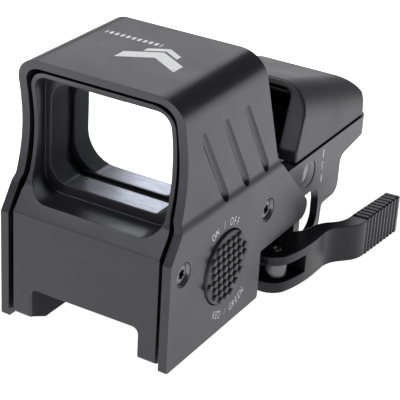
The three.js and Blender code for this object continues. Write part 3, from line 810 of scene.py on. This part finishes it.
def studded_button():
    grid = bmesh.new()
    turned(grid, PAD_PROFILE, along_x(BUTTON_FACE, BUTTON_Y, BUTTON_Z), 64)
    for i in range(-STUD_COLUMNS, STUD_COLUMNS + 1):
        for j in range(-STUD_ROWS, STUD_ROWS + 1):
            y = i * STUD_COLUMN + STUD_SHIFT_Y - STUD_SLANT * j
            z = (j + STUD_LEAN * i) * STUD_ROW + STUD_SHIFT_Z
            if math.hypot(y, z) > STUD_FIELD:
                continue
            spot = along_x(BUTTON_FACE, BUTTON_Y + y, BUTTON_Z + z)
            profile = [(r * STUD_RADIUS, h * STUD_HEIGHT) for r, h in STUD_PROFILE]
            turned(grid, profile, spot, 16)
    add_piece("studded_button", grid, "power_button", RUBBER, ("on_off_button",), 60)


studded_button()


# Labels printed on the side: letters set one by one round the button, and the windage letter.
LABEL_X = 22.0
LABEL_THICK = 0.02
LABEL_HEIGHT = 1.9
CAPITAL_SHARE = 0.7
CAPITAL_NARROW = 0.66


def add_letter(grid, letter, x, y, z, turn, height):
    """Adds one flat letter standing on the object's +X side, turned by that angle in degrees."""
    font = bpy.data.curves.new("letter", "FONT")
    font.body = letter
    font.align_x = "CENTER"
    font.align_y = "CENTER"
    font.extrude = LABEL_THICK * MM / (height * MM)
    font.resolution_u = 4
    writer = bpy.data.objects.new("letter", font)
    scene.collection.objects.link(writer)
    bpy.context.view_layer.update()
    written = writer.evaluated_get(bpy.context.evaluated_depsgraph_get())
    mesh = bpy.data.meshes.new_from_object(written)
    size = height * MM / CAPITAL_SHARE
    stand = Matrix(((0, 0, 1, 0), (1, 0, 0, 0), (0, 1, 0, 0), (0, 0, 0, 1)))
    spin = Matrix.Rotation(math.radians(turn), 4, "X")
    scale = Matrix.Diagonal((size * CAPITAL_NARROW, size, height * MM, 1))
    mesh.transform(Matrix.Translation(mm(x, y, z)) @ spin @ stand @ scale)
    grid.from_mesh(mesh)
    bpy.data.objects.remove(writer)
    bpy.data.curves.remove(font)
    bpy.data.meshes.remove(mesh)


# Each label: its words, the centre of its arc from the button's, its radius, the angle of its
# middle, and the angle from letter to letter.
LABELS = (
    ("ON / OFF", (-1.0, 0.0), 10.9, 87.6, -8.3),
    ("RED / GREEN", (2.2, 0.3), 12.6, -88.4, 6.05),
)
WINDAGE_LETTER = "R"
WINDAGE_LETTER_PLACE = (18.9, 37.7, 14.3)
WINDAGE_LETTER_HEIGHT = 2.3


def side_labels():
    grid = bmesh.new()
    for words, (across, up), radius, middle, step in LABELS:
        for i, letter in enumerate(words):
            if letter == " ":
                continue
            angle = middle + (i - (len(words) - 1) / 2) * step
            y = BUTTON_Y + across + radius * math.cos(math.radians(angle))
            z = BUTTON_Z + up + radius * math.sin(math.radians(angle))
            turn = angle - 90 if step < 0 else angle + 90
            add_letter(grid, letter, LABEL_X, y, z, turn, LABEL_HEIGHT)
    add_letter(grid, WINDAGE_LETTER, *WINDAGE_LETTER_PLACE, 0, WINDAGE_LETTER_HEIGHT)
    add_piece("side_labels", grid, "sight_body", LABEL_PAINT, smooth_angle=20)


side_labels()


# Windage screw: its head lies inside a bore coloured pale as painted light, with a rounded slot
# across it.
WINDAGE_FACE = 17.2
WINDAGE_PROFILE = (
    (1.4, -8.6),
    (1.4, -4.6),
    (3.1, -4.6),
    (3.1, -0.2),
    (2.95, 0.0),
    (1.35, 0.0, 0.85),
    (1.25, -0.1, 0.85),
    (1.2, -0.8, 0.85),
    (0, -0.8),
)
grid = bmesh.new()
turned(grid, WINDAGE_PROFILE, along_x(WINDAGE_FACE, WINDAGE_Y, WINDAGE_Z), lobes=2)
windage_body = body_of(nodes["windage_screw"])[0]
add_piece(
    "slotted_windage_screw",
    grid,
    windage_body,
    BARE_ALLOY,
    ("windage_screw",),
)


# Lever pin with a centre dimple, and ribs across the top and bottom of the thumb pad.
PIN_FACE = 2.9
PIN_PROFILE = (
    (1.22, -9.6),
    (1.3, -9.45),
    (1.3, 0.0),
    (1.22, 0.16),
    (0.95, 0.24),
    (0.62, 0.2),
    (0.42, -0.05),
    (0, -0.16),
)
grid = bmesh.new()
turned(grid, PIN_PROFILE, Matrix.Translation(mm(PIN_X, PIN_Y, PIN_FACE)), 32)
add_piece("dimpled_lever_pin", grid, "clamp_lever", STEEL, ("lever_pin",))

RIB_COUNT = 10
RIB_START_Y = 38
RIB_PITCH = 1.7
RIB_HEIGHT = 0.42
RIB_PHASE = 0.62
RIB_TILT = 0.09
# A rib's section: its reach along Y and its height as a share of RIB_HEIGHT.
RIB_SECTION = ((-0.52, -0.3), (0.52, -0.3), (0.5, 0.55), (0.3, 1), (-0.3, 1), (-0.5, 0.55))
# The pad's outer and inner sides: X where they start, how much they spread, from where and over
# what length.
PAD_OUTER = (32.5, 1.3, RIB_START_Y, RIB_COUNT * RIB_PITCH)
PAD_INNER = (28.0, 1.6, 38.5, 16.8)


def pad_edge(y):
    """The thumb pad's inner and outer X at that Y."""
    return [x + flare * (y - start) / length for x, flare, start, length in (PAD_INNER, PAD_OUTER)]


def lever_ribs():
    grid = bmesh.new()
    for surface, up in ((LEVER_TOP, 1), (LEVER_BOTTOM, -1)):
        for i in range(RIB_COUNT):
            y = RIB_START_Y + (i + RIB_PHASE) * RIB_PITCH
            inner, outer = pad_edge(y)
            starting = ((inner + 0.15, 0.25), (inner + 0.5, 1))
            ending = ((outer - 0.35, 1), (outer - 0.05, 0.2))
            loops = []
            for x, lift in starting + ending:
                tilt = (x - inner) * RIB_TILT
                loop = []
                for dy, share in RIB_SECTION:
                    height = share * RIB_HEIGHT * (lift if share > 0 else 1)
                    loop.append(mm(x, y + dy + tilt, surface + up * height))
                loops.append(loop)
            loft(grid, loops)
    add_piece("lever_pad_ribs", grid, "clamp_lever", LEVER_PAD, smooth_angle=30)


lever_ribs()


# Wound springs in place of the plain sleeves that stand for them.
SPRING_RADIUS = 1.42
SPRING_WIRE = 0.22
SPRING_TURNS = 5


def wound_spring(name, node):
    low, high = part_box(node)
    _, y, z = centre(node)
    length = (high[0] - low[0]) / MM
    grid = bmesh.new()
    coil(grid, along_x(low[0] / MM, y, z), SPRING_RADIUS, SPRING_WIRE, length, SPRING_TURNS)
    add_piece(name, grid, body_of(nodes[node])[0], STEEL, (node,))


for row in ("front", "rear"):
    wound_spring(f"wound_jaw_spring_{row}", f"jaw_spring_{row}")


# ---------------------------------------------------------------- floor and light

FLOOR_Z = cad_box[0][2]
FLOOR_HALF = 6.0
FLOOR_DROP = 0.0002
FLOOR_GLOW = 1.0
PAINTED_SHADOW_GLOW = 0.04
# A painted shadow: the stretch of floor under the sight that hardly glows, in mm along X and Y.
PAINTED_SHADOW_X = (-15, 15)
PAINTED_SHADOW_Y = (-20, 30)
WORLD_FILL = (0.15, 0.15, 0.16, 1)
WHITE = (1, 1, 1, 1)


def floor_material():
    """Pale floor with an even glow of its own, like a lit table, dimmed under the object as a
    painted shadow.
    """
    material, tree, shader, place = new_material("pale_floor")
    shader.inputs["Base Color"].default_value = (0.8, 0.8, 0.8, 1)
    shader.inputs["Roughness"].default_value = 0.9
    shader.inputs["Specular IOR Level"].default_value = 0.0
    x, y, _ = axes(tree, place)
    gaps = []
    for value, (low, high) in ((x, PAINTED_SHADOW_X), (y, PAINTED_SHADOW_Y)):
        away = math_node(tree, "ABSOLUTE", math_node(tree, "SUBTRACT", value, (low + high) / 2))
        gaps.append(math_node(tree, "SUBTRACT", away, (high - low) / 2))
    outside = math_node(tree, "MAXIMUM", *gaps)
    # Painted shadow: the glow falls off under the object.
    glow = spread(tree, outside, PAINTED_SHADOW_GLOW, FLOOR_GLOW, -4.0, 3.0)
    link(tree, glow, shader.inputs["Emission Strength"])
    shader.inputs["Emission Color"].default_value = WHITE
    return material


def add_floor():
    mesh = bpy.data.meshes.new("floor")
    half = FLOOR_HALF
    z = FLOOR_Z - FLOOR_DROP
    corners = [(-half, -half, z), (half, -half, z), (half, half, z), (-half, half, z)]
    mesh.from_pydata(corners, [], [(0, 1, 2, 3)])
    floor = bpy.data.objects.new("floor", mesh)
    mesh.materials.append(floor_material())
    scene.collection.objects.link(floor)


def add_softbox(name, azimuth, elevation, distance, width, height, radiance):
    """A flat white panel light aimed at the object. Radiance 1 looks pure white when mirrored."""
    data = bpy.data.lights.new(name, "AREA")
    data.shape = "RECTANGLE"
    data.size = width
    data.size_y = height
    data.energy = radiance * width * height * math.pi
    light = bpy.data.objects.new(name, data)
    back = towards(azimuth, elevation)
    light.matrix_world = Matrix.Translation(back * distance) @ facing(back)
    scene.collection.objects.link(light)


def add_world():
    """A dim grey fill, seen as white by the camera and through the lens."""
    world = bpy.data.worlds.new("studio")
    scene.world = world
    world.use_nodes = True
    tree = world.node_tree
    background = tree.nodes["Background"]
    background.inputs["Color"].default_value = WORLD_FILL
    seen = shader_node(tree, "ShaderNodeBackground", {"Color": WHITE})
    path = tree.nodes.new("ShaderNodeLightPath")
    direct = math_node(
        tree, "MAXIMUM", path.outputs["Is Camera Ray"], path.outputs["Is Transmission Ray"]
    )
    mix = shader_node(tree, "ShaderNodeMixShader", {0: direct})
    link(tree, background.outputs[0], mix.inputs[1])
    link(tree, seen.outputs[0], mix.inputs[2])
    link(tree, mix.outputs[0], tree.nodes["World Output"].inputs["Surface"])


add_floor()
add_world()
scene.view_settings.view_transform = "Standard"
add_softbox("back_left_panel", 211, 33, 1.1, 0.8, 0.5, 1.6)
add_softbox("overhead_panel", 300, 72, 1.2, 0.6, 0.6, 4.5)
add_softbox("front_left_panel", 322, 46, 1.2, 0.5, 0.5, 4.5)
add_softbox("front_low_panel", 334, 13, 1.2, 0.6, 0.34, 1.6)
